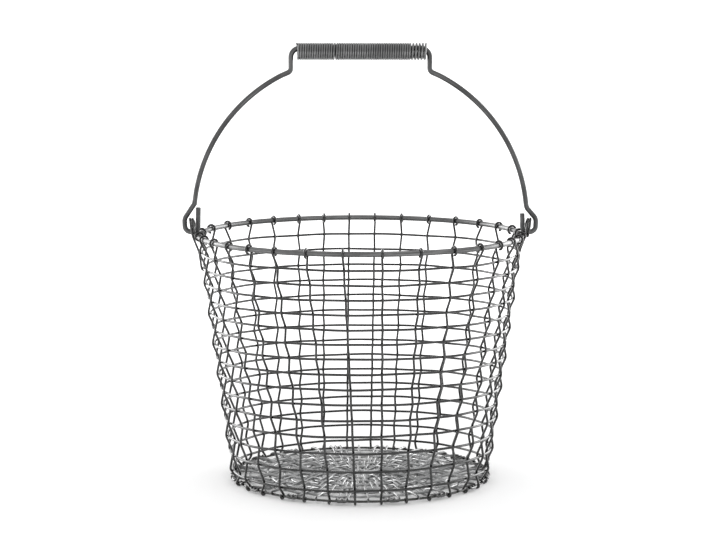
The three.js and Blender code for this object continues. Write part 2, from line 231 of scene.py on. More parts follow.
# Softboxes: place and size in metres, power in watts; the back and side ones stand left and right
LIGHT_AIM = (0, 0, 0.2)
BACK_SOFTBOX_PLACE = (1.6, 1.6, 0.7)
BACK_SOFTBOX_SIZE = (1.6, 1.2)
BACK_SOFTBOX_POWER = 20
SIDE_SOFTBOX_PLACE = (2.1, 0.75, 0.65)
SIDE_SOFTBOX_SIZE = (1.4, 1.2)
SIDE_SOFTBOX_POWER = 14
TOP_SOFTBOX_PLACE = (0, -0.2, 2.4)
TOP_SOFTBOX_SIZE = (1.6, 1.6)
TOP_SOFTBOX_POWER = 2

# Floor: its paper's two tones, and the glow that it is seen with near the object and far from it
FLOOR_REACH = 30.0
FLOOR_ROUGHNESS = 0.9
FLOOR_DARKEST = 0.93
FLOOR_PALEST = 0.95
GLOW_START = 0.3
GLOW_END = 1.6
NEAR_GLOW = 0.025
FAR_GLOW = 0.7

# Camera
IMAGE_WIDTH = 716
FOCAL_LENGTH_IN_PIXELS = 2402.1
SENSOR_WIDTH = 36.0
CAMERA_PLACE = (-0.00228, -2.4019, 0.52655)
CAMERA_TILT_DOWN = 0.1299

# How finely the wires are drawn
CRIMP = 3.2 * MM
ROW_POINTS = 384
RIM_POINTS = 240
BASE_RING_POINTS = 160
WOVEN_SIDES = 10
RIM_SIDES = 18
BAIL_SIDES = 20
GRIP_SIDES = 10
CHAMFER_SHARE = 0.18
SHORTEST_STEP = 0.02 * MM


# Places round the basket

def around(distance, angle, height):
    """A point by its distance from the axis, its degrees from the front towards +X, and its height."""
    turn = math.radians(angle)
    return Vector((distance * math.sin(turn), -distance * math.cos(turn), height))


def depth_share(height):
    """How far down the wall a height lies, from 0 at the rim to 1 at the base ring."""
    return (RIM_HEIGHT - height) / (RIM_HEIGHT - BASE_RING_HEIGHT)


def wall_radius(height):
    """The radius of the middle of the wall at a height."""
    return RIM_RADIUS + (BASE_RADIUS - RIM_RADIUS) * depth_share(height)


def rim_drift(angle):
    """How far an upright strays from even spacing at the rim, in degrees."""
    a = math.radians(angle)
    return (
        RIM_DRIFT * (math.sin(a) + math.sin(3 * a))
        + RIM_TURN * math.cos(a)
        - RIM_RIPPLE * math.cos(3 * a)
        + RIM_LEAN * math.sin(2 * a)
    )


def base_drift(angle):
    """How far an upright strays from even spacing at the base ring, in degrees."""
    return BASE_TURN + BASE_DRIFT * math.cos(math.radians(angle))


def upright_angle(upright, height):
    """Where an upright stands at a height, in degrees from the front."""
    even = (upright + 0.5) * 360 / UPRIGHT_COUNT
    share = depth_share(height)
    return even + (1 - share) * rim_drift(even) + share * base_drift(even)


def row_middle(row):
    """A row's mean height; the lowest rows lie wider apart."""
    wide = max(0, row - (ROW_COUNT - WIDE_ROW_COUNT))
    return RIM_HEIGHT - FIRST_ROW_DROP - ROW_PITCH * (row - 1) - ROW_WIDENING * wide * (wide + 1) / 2


def row_height(row, angle):
    """A row's height at an angle: it climbs to the front and leans to one side."""
    share = depth_share(row_middle(row))
    a = math.radians(angle)
    climb = ROW_CLIMB * math.sin(math.pi * share**ROW_CLIMB_SKEW)
    return row_middle(row) + climb * math.cos(a) + ROW_SLOPE * share**2 * math.sin(a)


def weave_side(upright, row):
    """1 where the upright passes outside the row, -1 where it passes inside; the rim is row 0."""
    return 1 if (upright + row) % 2 == 1 else -1


# Courses of bent wire

def wrap(start, centre, radius, turn, step, steps):
    """The bends of a wire that comes from a point and wraps a round bar; turn is 1 for anticlockwise."""
    away = (start[0] - centre[0], start[1] - centre[1])
    lean = math.degrees(math.acos(radius / math.hypot(*away)))
    touch = math.degrees(math.atan2(away[1], away[0])) + turn * lean
    reach = radius / math.cos(math.radians(step / 2))
    bends = [(touch + turn * step * (i + 0.5), reach) for i in range(steps)]
    bends.append((touch + turn * step * steps, radius))
    return touch, [
        (
            centre[0] + distance * math.cos(math.radians(angle)),
            centre[1] + distance * math.sin(math.radians(angle)),
        )
        for angle, distance in bends
    ]


def softened(points, reach, steps=5):
    """The course with each corner bent round: the wire leaves its straight run a reach before the corner."""
    course = [points[0]]
    for before, corner, after in zip(points, points[1:], points[2:]):
        back = before - corner
        on = after - corner
        start = corner + back * min(0.5, reach / back.length)
        end = corner + on * min(0.5, reach / on.length)
        for i in range(steps + 1):
            share = i / steps
            spot = start.lerp(corner, share).lerp(corner.lerp(end, share), share)
            if (spot - course[-1]).length > SHORTEST_STEP:
                course.append(spot)
    course.append(points[-1])
    return course


def rounded(corners, step=6):
    """A flat line through (x, z, bend radius) corners, each rounded to its radius."""
    line = []
    for i, (x, z, bend) in enumerate(corners):
        corner = Vector((x, z))
        if not bend:
            line.append(corner)
            continue
        back = (Vector(corners[i - 1][:2]) - corner).normalized()
        on = (Vector(corners[i + 1][:2]) - corner).normalized()
        half = back.angle(on) / 2
        centre = corner + (back + on).normalized() * bend / math.sin(half)
        spoke = corner + back * bend / math.tan(half) - centre
        turn = math.copysign(math.pi - 2 * half, back.y * on.x - back.x * on.y)
        steps = max(2, round(math.degrees(abs(turn)) / step))
        for j in range(steps + 1):
            a = turn * j / steps
            line.append(centre + Vector((
                spoke.x * math.cos(a) - spoke.y * math.sin(a),
                spoke.x * math.sin(a) + spoke.y * math.cos(a),
            )))
    return line


# Round wire

def section_frames(points, closed):
    """Two directions across the wire at each point, carried along it without twist."""
    count = len(points)
    frames = []
    across = None
    for i in range(count):
        ahead = points[(i + 1) % count] if closed or i + 1 < count else points[i]
        behind = points[i - 1] if closed or i > 0 else points[i]
        tangent = (ahead - behind).normalized()
        if closed:
            across = Vector((0, 0, 1)).cross(tangent).normalized()
        elif across is None:
            least = min(range(3), key=lambda axis: abs(tangent[axis]))
            across = tangent.cross(Vector([1.0 if axis == least else 0.0 for axis in range(3)])).normalized()
        else:
            across = (across - tangent * across.dot(tangent)).normalized()
        frames.append((across, tangent.cross(across), tangent))
    return frames


def round_wire(name, points, diameter, sides, closed=False):
    """A wire of round section along the points, with a small chamfer at each cut end."""
    radius = diameter / 2
    frames = section_frames(points, closed)
    rings = [(spot, radius, frame) for spot, frame in zip(points, frames)]
    if not closed:
        chamfer = CHAMFER_SHARE * radius
        first_frame, last_frame = frames[0], frames[-1]
        rings[0] = (points[0] + first_frame[2] * chamfer, radius, first_frame)
        rings[-1] = (points[-1] - last_frame[2] * chamfer, radius, last_frame)
        rings.insert(0, (points[0], radius - chamfer, first_frame))
        rings.append((points[-1], radius - chamfer, last_frame))
    vertices = []
    lengths = [0.0]
    for i, (spot, reach, (across, up, _)) in enumerate(rings):
        for side in range(sides):
            a = 2 * math.pi * side / sides
            vertices.append(spot + across * reach * math.cos(a) + up * reach * math.sin(a))
        ahead = rings[(i + 1) % len(rings)][0]
        lengths.append(lengths[-1] + (ahead - spot).length)
    faces = []
    grain = []
    spans = len(rings) if closed else len(rings) - 1
    for i in range(spans):
        here = i * sides
        there = (i + 1) % len(rings) * sides
        for side in range(sides):
            after = (side + 1) % sides
            faces.append((here + side, here + after, there + after, there + side))
            for place, along in ((side, i), (side + 1, i), (side + 1, i + 1), (side, i + 1)):
                grain.append((place / sides, lengths[along]))
    if not closed:
        last = (len(rings) - 1) * sides
        faces.append(tuple(reversed(range(sides))))
        grain.extend([(0.5, lengths[0])] * sides)
        faces.append(tuple(range(last, last + sides)))
        grain.extend([(0.5, lengths[spans])] * sides)
    mesh = bpy.data.meshes.new(name)
    mesh.from_pydata(vertices, [], faces)
    layer = mesh.uv_layers.new(name="grain")
    layer.data.foreach_set("uv", [number for pair in grain for number in pair])
    mesh.polygons.foreach_set("use_smooth", [len(face) == 4 for face in faces])
    mesh.validate()
    piece = bpy.data.objects.new(name, mesh)
    bpy.context.scene.collection.objects.link(piece)
    return piece


def dress(node, body, finish, points, diameter, sides, closed=False):
    """Shows a round wire in place of the many-sided node."""
    piece = round_wire("round_" + node, points, diameter, sides, closed)
    piece.data.materials.append(finish)
    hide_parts(node)
    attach(piece, body)
    return piece


# Basket

def upright_course(upright):
    """One upright, from its hook on the rim down to its curl on the outer ring."""
    rim_angle = upright_angle(upright, RIM_HEIGHT)
    base_angle = upright_angle(upright, BASE_RING_HEIGHT)
    crossings = []
    for row in range(1, ROW_COUNT + 1):
        angle = upright_angle(upright, row_middle(row))
        height = row_height(row, angle)
        offset = LAST_ROW_OFFSET if row == ROW_COUNT else WEAVE_OFFSET
        crossings.append((wall_radius(height) + weave_side(upright, row) * offset, angle, height))
    top = (crossings[0][0], crossings[0][2])
    hook_step = HOOK_SWEEP / HOOK_STEPS
    _, hook = wrap(top, (RIM_RADIUS, RIM_HEIGHT), HOOK_RADIUS, weave_side(upright, 0), hook_step, HOOK_STEPS)
    bottom = (crossings[-1][0], crossings[-1][2])
    ring = (BASE_RADIUS, BASE_RING_HEIGHT)
    turn = -weave_side(upright, ROW_COUNT + 1)
    touch, _ = wrap(bottom, ring, FOOT_CURL_RADIUS, turn, 0, 1)
    curl_step = (turn * (-90 - touch) % 360) / FOOT_CURL_STEPS_TO_FLOOR
    _, curl = wrap(bottom, ring, FOOT_CURL_RADIUS, turn, curl_step, FOOT_CURL_STEPS)
    points = [around(distance, rim_angle, height) for distance, height in reversed(hook)]
    points += [around(*crossing) for crossing in crossings]
    points += [around(distance, base_angle, height) for distance, height in curl]
    return softened(points, CRIMP)


def row_course(row):
    """A row bows a little away from each upright that it passes, and wanders as hand work does."""
    angles = [upright_angle(upright, row_middle(row)) for upright in range(UPRIGHT_COUNT)]
    steps = ROW_POINTS // UPRIGHT_COUNT
    course = []
    for upright in range(UPRIGHT_COUNT):
        here = angles[upright]
        ahead = angles[upright + 1] if upright + 1 < UPRIGHT_COUNT else angles[0] + 360
        for i in range(steps):
            angle = here + (ahead - here) * i / steps
            a = math.radians(angle)
            wander = math.sin(3 * a + 2.1 * row) + math.sin(7 * a + 4.7 * row)
            wander += math.sin(13 * a + 1.3 * row)
            height = row_height(row, angle) + ROW_WANDER / 3 * wander
            bow = -weave_side(upright, row) * ROW_WAVE * math.cos(math.pi * i / steps)
            course.append(around(wall_radius(height) + bow, angle, height))
    return course


def ring_course(radius, height, count, wander=0.0, wave=0.0, phase=0):
    """A closed ring that wanders in and out, and waves up and down past the spokes."""
    course = []
    for i in range(count):
        a = 2 * math.pi * i / count
        drift = wander / 2 * (math.sin(5 * a + 2.3 * phase) + math.sin(11 * a + 4.1 * phase))
        lift = wave * math.cos(UPRIGHT_COUNT * a + math.pi * phase)
        course.append(around(radius + drift, 360 * i / count, height + lift))
    return course


def base_ring_radius(ring):
    """The radius of a base ring; the outer ring is 0."""
    return BASE_RADIUS - BASE_RING_PITCH * ring


def spoke_angle(spoke, radius):
    """Where a run of the lacing lies at a radius, fanned out towards the middle."""
    pair = spoke // 2
    near = upright_angle(2 * pair, BASE_RING_HEIGHT)
    far = upright_angle(2 * pair + 1, BASE_RING_HEIGHT)
    inward = (BASE_RADIUS - radius) / (BASE_RADIUS - base_ring_radius(INNER_RING_COUNT))
    even = 90 / SPOKE_PAIRS
    fanned = SPOKE_SPREAD + (even - SPOKE_SPREAD) * min(1, max(0, inward))
    spread = min(fanned, 2 * even - math.degrees(math.asin(HAIRPIN_HALF_WIDTH / radius)))
    return (near + far) / 2 + (spread if spoke % 2 else -spread)


def spokes_course():
    """One long wire laced in and out across the base, turning back near the middle and at the outer ring."""
    points = []
    for spoke in range(2 * SPOKE_PAIRS):
        hairpin = (spoke + 1) // 2
        turn_radius = DEEP_TURN_RADIUS
        if hairpin % 2:
            turn_radius = base_ring_radius(INNER_RING_COUNT) - SHALLOW_TURN_DEPTH
        course = [(turn_radius, INNER_RING_HEIGHT)]
        for ring in range(INNER_RING_COUNT, 0, -1):
            side = 1 if (spoke + ring) % 2 == 0 else -1
            course.append((base_ring_radius(ring), INNER_RING_HEIGHT + side * SPOKE_OFFSET))
        course.append((BASE_RADIUS + SPOKE_HOOK_REACH, BASE_RING_HEIGHT + SPOKE_OFFSET))
        course.append((BASE_RADIUS + SPOKE_OFFSET, BASE_RING_HEIGHT))
        run = [around(radius, spoke_angle(spoke, radius), height) for radius, height in course]
        points += run if spoke % 2 == 0 else run[::-1]
    return softened(points, CRIMP)


def between_course(spoke):
    """A wire midway between two spokes, laced from the outer ring in to the last ring but one."""
    course = [(BASE_RADIUS + SPOKE_OFFSET, BASE_RING_HEIGHT)]
    course.append((BASE_RADIUS + SPOKE_HOOK_REACH, BASE_RING_HEIGHT + SPOKE_OFFSET))
    for ring in range(1, BETWEEN_RING_COUNT + 1):
        side = 1 if (spoke + ring) % 2 == 0 else -1
        course.append((base_ring_radius(ring), INNER_RING_HEIGHT + side * SPOKE_OFFSET))
    points = []
    for radius, height in course:
        here = spoke_angle(spoke, radius)
        last = spoke + 1 == 2 * SPOKE_PAIRS
        ahead = spoke_angle(0, radius) + 360 if last else spoke_angle(spoke + 1, radius)
        points.append(around(radius, (here + ahead) / 2, height))
    return softened(points, CRIMP)


def ear_course(side):
    """One wire looped twice through the bail's eye: one end under the rim, the other round the second row."""
    outer = RIM_RADIUS + EAR_HOOK_RADIUS

    def across(radius):
        """How far out a circle round the basket is, at the ear's half width to the side."""
        return math.sqrt(radius**2 - EAR_HALF_WIDTH**2)

    def spot(turn, along, height):
        """A point on one turn of the ear, which leans outwards above the rim."""
        lean = EAR_LEAN * max(0, height - RIM_HEIGHT)
        return Vector((across(outer) + EAR_OFFSET * turn + lean, along, height))

    arch = EAR_HEIGHT - EAR_HALF_WIDTH
    hook_step = EAR_HOOK_SWEEP / EAR_HOOK_STEPS
    start = (across(outer), EAR_HEIGHT)
    rim = (across(RIM_RADIUS), RIM_HEIGHT)
    _, hook = wrap(start, rim, EAR_HOOK_RADIUS, -1, hook_step, EAR_HOOK_STEPS)
    points = [Vector((out, -EAR_HALF_WIDTH, height)) for out, height in reversed(hook)]
    for turn in range(2):
        for i in range(EAR_ARCH_STEPS + 1):
            a = math.pi * (1 - i / EAR_ARCH_STEPS)
            points.append(spot(turn, EAR_HALF_WIDTH * math.cos(a), arch + EAR_HALF_WIDTH * math.sin(a)))
        if turn == 0:
            points.append(spot(0, EAR_HALF_WIDTH, EAR_RETURN_HEIGHT + EAR_CORNER))
            points.append(spot(0, EAR_HALF_WIDTH - EAR_CORNER, EAR_RETURN_HEIGHT))
            points.append(spot(1, EAR_CORNER - EAR_HALF_WIDTH, EAR_RETURN_HEIGHT))
            points.append(spot(1, -EAR_HALF_WIDTH, EAR_RETURN_HEIGHT + EAR_CORNER))
    points.append(spot(1, EAR_HALF_WIDTH, RIM_HEIGHT))
    leg_angle = math.degrees(math.atan2(EAR_HALF_WIDTH, across(outer)))
    at_angle = 90 + leg_angle if side > 0 else leg_angle - 90
    first_row = row_height(1, at_angle)
    hook_row = row_height(EAR_HOOK_ROW, at_angle)
    above = (across(wall_radius(first_row) + WEAVE_OFFSET), first_row)
    points.append(Vector((above[0], EAR_HALF_WIDTH, above[1])))
    bar = (across(wall_radius(hook_row)), hook_row)
    _, row_hook = wrap(above, bar, WEAVE_OFFSET, -1, hook_step, EAR_HOOK_STEPS)
    points += [Vector((out, EAR_HALF_WIDTH, height)) for out, height in row_hook]
    return [Vector((side * p.x, side * p.y, p.z)) for p in softened(points, CRIMP)]


def make_basket(woven, base, rim):
    """Every wire of the basket's body, with the strands midway between the spokes."""
    for upright in range(UPRIGHT_COUNT):
        node = f"upright_{upright + 1:02d}"
        dress(node, "basket", woven, upright_course(upright), WEAVING_WIRE, WOVEN_SIDES)
    for row in range(1, ROW_COUNT + 1):
        node = f"row_{row:02d}"
        dress(node, "basket", woven, row_course(row), WEAVING_WIRE, WOVEN_SIDES, True)
    course = ring_course(RIM_RADIUS, RIM_HEIGHT, RIM_POINTS)
    dress("rim", "basket", rim, course, RIM_WIRE, RIM_SIDES, True)
    for ring in range(INNER_RING_COUNT + 1):
        node = f"base_ring_{ring}" if ring else "base_outer_ring"
        height = INNER_RING_HEIGHT if ring else BASE_RING_HEIGHT
        wander = RING_WANDER if ring else 0
        wave = RING_WAVE if ring else 0
        course = ring_course(base_ring_radius(ring), height, BASE_RING_POINTS, wander, wave, ring)
        finish = base if ring else woven
        dress(node, "basket", finish, course, WEAVING_WIRE, WOVEN_SIDES, True)
    dress("base_spokes", "basket", base, spokes_course(), WEAVING_WIRE, WOVEN_SIDES)
    for spoke in range(2 * SPOKE_PAIRS):
        name = f"between_spoke_{spoke + 1:02d}"
        piece = round_wire(name, between_course(spoke), WEAVING_WIRE, WOVEN_SIDES)
        piece.data.materials.append(base)
        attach(piece, "basket")
    for node, side in (("ear_right", 1), ("ear_left", -1)):
        dress(node, "basket", woven, ear_course(side), WEAVING_WIRE, WOVEN_SIDES)


# Bail and grip

def bail_half(neck_rise, tip_rise):
    """One half of the bail, from the middle of its top to the tip of its eye, and its top's height."""
    bow_height = EYE_HEIGHT + BOW_CENTRE_RISE
    top_reach = SHOULDER_HALF_WIDTH + KNEE_RUN - BOW_CENTRE_OFFSET
    knee_height = bow_height + math.sqrt(BOW_RADIUS**2 - top_reach**2) + KNEE_RISE
    top_height = knee_height + SHOULDER_RISE
    corners = [
        (0, top_height, 0),
        (SHOULDER_HALF_WIDTH, top_height, SHOULDER_BEND),
        (SHOULDER_HALF_WIDTH, knee_height, KNEE_BEND),
    ]
    top = math.acos(top_reach / BOW_RADIUS)
    bottom = math.asin((BOW_END_RISE - BOW_CENTRE_RISE) / BOW_RADIUS)
    for i in range(BOW_STEPS + 1):
        a = top + (bottom - top) * i / BOW_STEPS
        out = BOW_CENTRE_OFFSET + BOW_RADIUS * math.cos(a)
        corners.append((out, bow_height + BOW_RADIUS * math.sin(a), 0))
    corners += [
        (EYE_MIDDLE + NECK_OUT, EYE_HEIGHT + neck_rise, NECK_BEND),
        (EYE_MIDDLE + ELBOW_OUT, EYE_HEIGHT + ELBOW_RISE, ELBOW_BEND),
        (EYE_MIDDLE + EYE_HALF_WIDTH, EYE_HEIGHT - EYE_HALF_WIDTH, EYE_BEND),
        (EYE_MIDDLE - EYE_HALF_WIDTH, EYE_HEIGHT - EYE_HALF_WIDTH, EYE_BEND),
        (EYE_MIDDLE + TIP_OUT, EYE_HEIGHT + tip_rise, 0),
    ]
    return rounded(corners)[1:], top_height


def bail_course():
    """The whole bail from tip to tip, and its top's height."""
    right, top_height = bail_half(RIGHT_NECK_RISE, RIGHT_TIP_RISE)
    left, _ = bail_half(LEFT_NECK_RISE, LEFT_TIP_RISE)
    course = [Vector((-spot.x, 0, spot.y)) for spot in reversed(left)]
    course += [Vector((spot.x, 0, spot.y)) for spot in right]
    return course, top_height


def grip_course(axis_height):
    """A close coil, a little loose towards its right end, with one turn that stands apart."""
    coil = GRIP_RADIUS - GRIP_WIRE / 2
    span = GRIP_LENGTH - GRIP_WIRE
    pitch = (span - GRIP_GAP) / (GRIP_TURNS + GRIP_LOOSE_TURNS * GRIP_LOOSE_SHARE)
    course = []
    for i in range(GRIP_TURNS * GRIP_STEPS + 1):
        turn = i / GRIP_STEPS
        loose = max(0, turn - (GRIP_TURNS - GRIP_LOOSE_TURNS)) * GRIP_LOOSE_SHARE
        apart = GRIP_GAP * min(1, max(0, turn - GRIP_GAP_TURN))
        a = 2 * math.pi * turn
        x = GRIP_SHIFT + pitch * (turn + loose) + apart - span / 2
        course.append(Vector((x, coil * math.sin(a), axis_height + coil * math.cos(a))))
    return course


def make_bail(bail, grip):
    """The bail, and the coiled grip on its straight top."""
    course, top_height = bail_course()
    dress("bail", "bail", bail, course, BAIL_WIRE, BAIL_SIDES)
    coil = grip_course(top_height - GRIP_DROP)
    dress("grip", "grip", grip, coil, GRIP_WIRE, GRIP_SIDES)


# Node tools

def add_node(tree, kind, place, **settings):
    """A node at a place in the node editor, with its settings."""
    node = tree.nodes.new(kind)
    node.location = place
    for name, value in settings.items():
        setattr(node, name, value)
    return node


def new_group(name, inputs, outputs):
    """An empty node group with its sockets; inputs are (name, type, value) and outputs are (name, type)."""
    tree = bpy.data.node_groups.new(name, "ShaderNodeTree")
    for label, kind, value in inputs:
        socket = tree.interface.new_socket(name=label, in_out="INPUT", socket_type=kind)
        socket.default_value = value
    for label, kind in outputs:
        tree.interface.new_socket(name=label, in_out="OUTPUT", socket_type=kind)
    start = add_node(tree, "NodeGroupInput", (-900, 0))
    end = add_node(tree, "NodeGroupOutput", (900, 0))
    return tree, start, end


def map_range(tree, place, value, low, high, to_low=0.0, to_high=1.0):
    """Maps a value smoothly from one range to another."""
    node = add_node(tree, "ShaderNodeMapRange", place, interpolation_type="SMOOTHSTEP")
    node.inputs["From Min"].default_value = low
    node.inputs["From Max"].default_value = high
    node.inputs["To Min"].default_value = to_low
    node.inputs["To Max"].default_value = to_high
    tree.links.new(value, node.inputs["Value"])
    return node.outputs["Result"]


def math_node(tree, place, operation, first, second):
    """One sum on two values, each a socket or a number."""
    node = add_node(tree, "ShaderNodeMath", place, operation=operation, use_clamp=False)
    for socket, value in zip(node.inputs, (first, second)):
        if isinstance(value, (int, float)):
            socket.default_value = value
        else:
            tree.links.new(value, socket)
    return node.outputs["Value"]


def mix_colors(tree, place, share, first, second):
    """Two colours, each a socket or a value, mixed by a share: 0 gives the first and 1 the second."""
    node = add_node(tree, "ShaderNodeMix", place, data_type="RGBA")
    tree.links.new(share, node.inputs["Factor"])
    for socket, color in ((node.inputs["A"], first), (node.inputs["B"], second)):
        if isinstance(color, tuple):
            socket.default_value = color
        else:
            tree.links.new(color, socket)
    return node.outputs["Result"]


def noise(tree, place, vector, scale, detail=3.0, roughness=0.55):
    """Soft noise over a place, as one value."""
    node = add_node(tree, "ShaderNodeTexNoise", place)
    node.inputs["Scale"].default_value = scale
    node.inputs["Detail"].default_value = detail
    node.inputs["Roughness"].default_value = roughness
    tree.links.new(vector, node.inputs["Vector"])
    return node.outputs["Fac"]


# Effects that the finishes share

def drawing_lines_group():
    """Fine lines left along a wire by the die that it was drawn through."""
    tree, start, end = new_group(
        "drawing_lines",
        [("Lines Around", "NodeSocketFloat", 9.0), ("Lines Along", "NodeSocketFloat", 55.0)],
        [("Lines", "NodeSocketFloat")],
    )
    grain = add_node(tree, "ShaderNodeUVMap", (-900, -200), uv_map="grain")
    scale = add_node(tree, "ShaderNodeCombineXYZ", (-700, 0))
    tree.links.new(start.outputs["Lines Around"], scale.inputs["X"])
    tree.links.new(start.outputs["Lines Along"], scale.inputs["Y"])
    stretched = add_node(tree, "ShaderNodeVectorMath", (-500, -100), operation="MULTIPLY")
    tree.links.new(grain.outputs["UV"], stretched.inputs[0])
    tree.links.new(scale.outputs["Vector"], stretched.inputs[1])
    lines = noise(tree, (-300, -100), stretched.outputs["Vector"], scale=1.0, detail=4.0, roughness=0.65)
    tree.links.new(map_range(tree, (0, -100), lines, *LINE_EDGES), end.inputs["Lines"])
    return tree


def tarnish_group():
    """Dull patches over a few centimetres, with fine specks on them."""
    tree, start, end = new_group(
        "tarnish",
        [("Patch Scale", "NodeSocketFloat", 24.0), ("Speck Scale", "NodeSocketFloat", 900.0)],
        [("Patches", "NodeSocketFloat"), ("Specks", "NodeSocketFloat")],
    )
    place = add_node(tree, "ShaderNodeTexCoord", (-900, -250))
    patches = add_node(tree, "ShaderNodeTexNoise", (-500, 100))
    patches.inputs["Detail"].default_value = 4.0
    patches.inputs["Roughness"].default_value = 0.6
    specks = add_node(tree, "ShaderNodeTexNoise", (-500, -200))
    specks.inputs["Detail"].default_value = 2.0
    for texture, scale in ((patches, "Patch Scale"), (specks, "Speck Scale")):
        tree.links.new(place.outputs["Object"], texture.inputs["Vector"])
        tree.links.new(start.outputs[scale], texture.inputs["Scale"])
    dulled = map_range(tree, (-200, 100), patches.outputs["Fac"], *PATCH_EDGES)
    specked = map_range(tree, (-200, -200), specks.outputs["Fac"], *SPECK_EDGES)
    tree.links.new(dulled, end.inputs["Patches"])
    tree.links.new(specked, end.inputs["Specks"])
    return tree


def height_mask_group():
    """1 at the low height and 0 at the high one, uneven between them."""
    tree, start, end = new_group(
        "height_mask",
        [
            ("Low Height", "NodeSocketFloat", 0.0),
            ("High Height", "NodeSocketFloat", 0.02),
            ("Unevenness", "NodeSocketFloat", 0.01),
        ],
        [("Mask", "NodeSocketFloat")],
    )
    place = add_node(tree, "ShaderNodeTexCoord", (-900, -250))
    parts = add_node(tree, "ShaderNodeSeparateXYZ", (-700, -250))
    tree.links.new(place.outputs["Object"], parts.inputs["Vector"])
    rough = noise(tree, (-700, -450), place.outputs["Object"], scale=60.0)
    shift = math_node(tree, (-500, -450), "MULTIPLY", rough, start.outputs["Unevenness"])
    level = math_node(tree, (-300, -300), "ADD", parts.outputs["Z"], shift)
    fade = add_node(tree, "ShaderNodeMapRange", (0, -100), interpolation_type="SMOOTHSTEP")
    tree.links.new(level, fade.inputs["Value"])
    tree.links.new(start.outputs["Low Height"], fade.inputs["From Min"])
    tree.links.new(start.outputs["High Height"], fade.inputs["From Max"])
    fade.inputs["To Min"].default_value = 1.0
    fade.inputs["To Max"].default_value = 0.0
    tree.links.new(fade.outputs["Result"], end.inputs["Mask"])
    return tree


def place_group(tree, group, place, **values):
    """A group placed in a material with its own values; an underscore in a name stands for a space."""
    node = add_node(tree, "ShaderNodeGroup", place)
    node.node_tree = group
    for name, value in values.items():
        node.inputs[name.replace("_", " ")].default_value = value
    return node.outputs


# Finishes

def new_finish(name, film):
    """Bare metal under a thin clear film, with its tree, its shader and its bump."""
    finish = bpy.data.materials.new(name)
    finish.use_nodes = True
    tree = finish.node_tree
    shader = tree.nodes["Principled BSDF"]
    shader.inputs["Metallic"].default_value = 1.0
    shader.inputs["Coat Weight"].default_value = film
    shader.inputs["Coat IOR"].default_value = FILM_IOR
    shader.inputs["Coat Roughness"].default_value = FILM_ROUGHNESS
    bump = add_node(tree, "ShaderNodeBump", (-200, -300))
    bump.inputs["Strength"].default_value = RELIEF_STRENGTH
    bump.inputs["Distance"].default_value = RELIEF_DEPTH
    tree.links.new(bump.outputs["Normal"], shader.inputs["Normal"])
    return finish, tree, shader, bump


def grey(level):
    """The colour of bare steel at one brightness, a trace bluer than plain grey."""
    return (level, level * STEEL_GREEN, level * STEEL_BLUE, 1)


def steel_color(tree, lines, tarnish, bright, dull, tarnish_share):
    """Bright drawn metal with darker lines along it, gone dull in patches."""
    color = mix_colors(tree, (-800, 300), lines["Lines"], dull, bright)
    share = math_node(tree, (-800, 50), "MULTIPLY", tarnish["Patches"], tarnish_share)
    return mix_colors(tree, (-600, 250), share, color, dull)


def steel_surface(tree, shader, bump, lines, tarnish, smoothest, patch_roughness):
    """Rougher where it is tarnished, with the lines and the specks in its relief."""
    rough = math_node(tree, (-600, -50), "MULTIPLY_ADD", tarnish["Patches"], patch_roughness)
    rough.node.inputs[2].default_value = smoothest
    tree.links.new(rough, shader.inputs["Roughness"])
    relief = math_node(tree, (-400, -350), "ADD", lines["Lines"], tarnish["Specks"])
    tree.links.new(relief, bump.inputs["Height"])


def shaded_woven_steel(effects):
    """Thin drawn wire of the wall: bare steel painted near black as painted shade, gone dull in patches,
    dustier at the foot.
    """
    finish, tree, shader, bump = new_finish("shaded_woven_steel", film=0.65)
    lines = place_group(tree, effects["lines"], (-1100, 300), Lines_Around=7.0, Lines_Along=45.0)
    tarnish = place_group(tree, effects["tarnish"], (-1100, 0), Patch_Scale=26.0, Speck_Scale=1100.0)
    foot = place_group(tree, effects["height"], (-1100, -300), High_Height=DUST_HEIGHT, Unevenness=0.02)
    # The steel's colours are painted near black, painted shade
    color = steel_color(tree, lines, tarnish, grey(WOVEN_BRIGHT_PAINTED_DARK), grey(WOVEN_DULL_PAINTED_DARK), tarnish_share=0.6)
    dust = math_node(tree, (-800, -150), "MULTIPLY", foot["Mask"], DUST_SHARE)
    color = mix_colors(tree, (-400, 250), dust, color, DUST_COLOR)
    tree.links.new(color, shader.inputs["Base Color"])
    steel_surface(tree, shader, bump, lines, tarnish, smoothest=0.2, patch_roughness=0.14)
    return finish


def lit_base_steel(effects):
    """The base's wire: the same drawn steel, painted paler as painted light from above, and dark at its edge.
    """
    finish, tree, shader, bump = new_finish("lit_base_steel", film=1.0)
    lines = place_group(tree, effects["lines"], (-1100, 300), Lines_Around=7.0, Lines_Along=45.0)
    tarnish = place_group(tree, effects["tarnish"], (-1100, 0), Patch_Scale=40.0, Speck_Scale=1100.0)
    place = add_node(tree, "ShaderNodeTexCoord", (-1100, -300))
    reach = add_node(tree, "ShaderNodeVectorMath", (-900, -300), operation="LENGTH")
    tree.links.new(place.outputs["Object"], reach.inputs[0])
    edge = map_range(tree, (-700, -300), reach.outputs["Value"], BASE_RADIUS - BASE_RING_PITCH, BASE_RADIUS)
    # The steel's colours are painted pale, painted light from above
    color = steel_color(tree, lines, tarnish, grey(BASE_BRIGHT_PAINTED_LIT), grey(BASE_DULL_PAINTED_LIT), tarnish_share=0.5)
    color = mix_colors(tree, (-400, 250), edge, color, grey(BASE_EDGE))
    tree.links.new(color, shader.inputs["Base Color"])
    steel_surface(tree, shader, bump, lines, tarnish, smoothest=0.26, patch_roughness=0.14)
    return finish


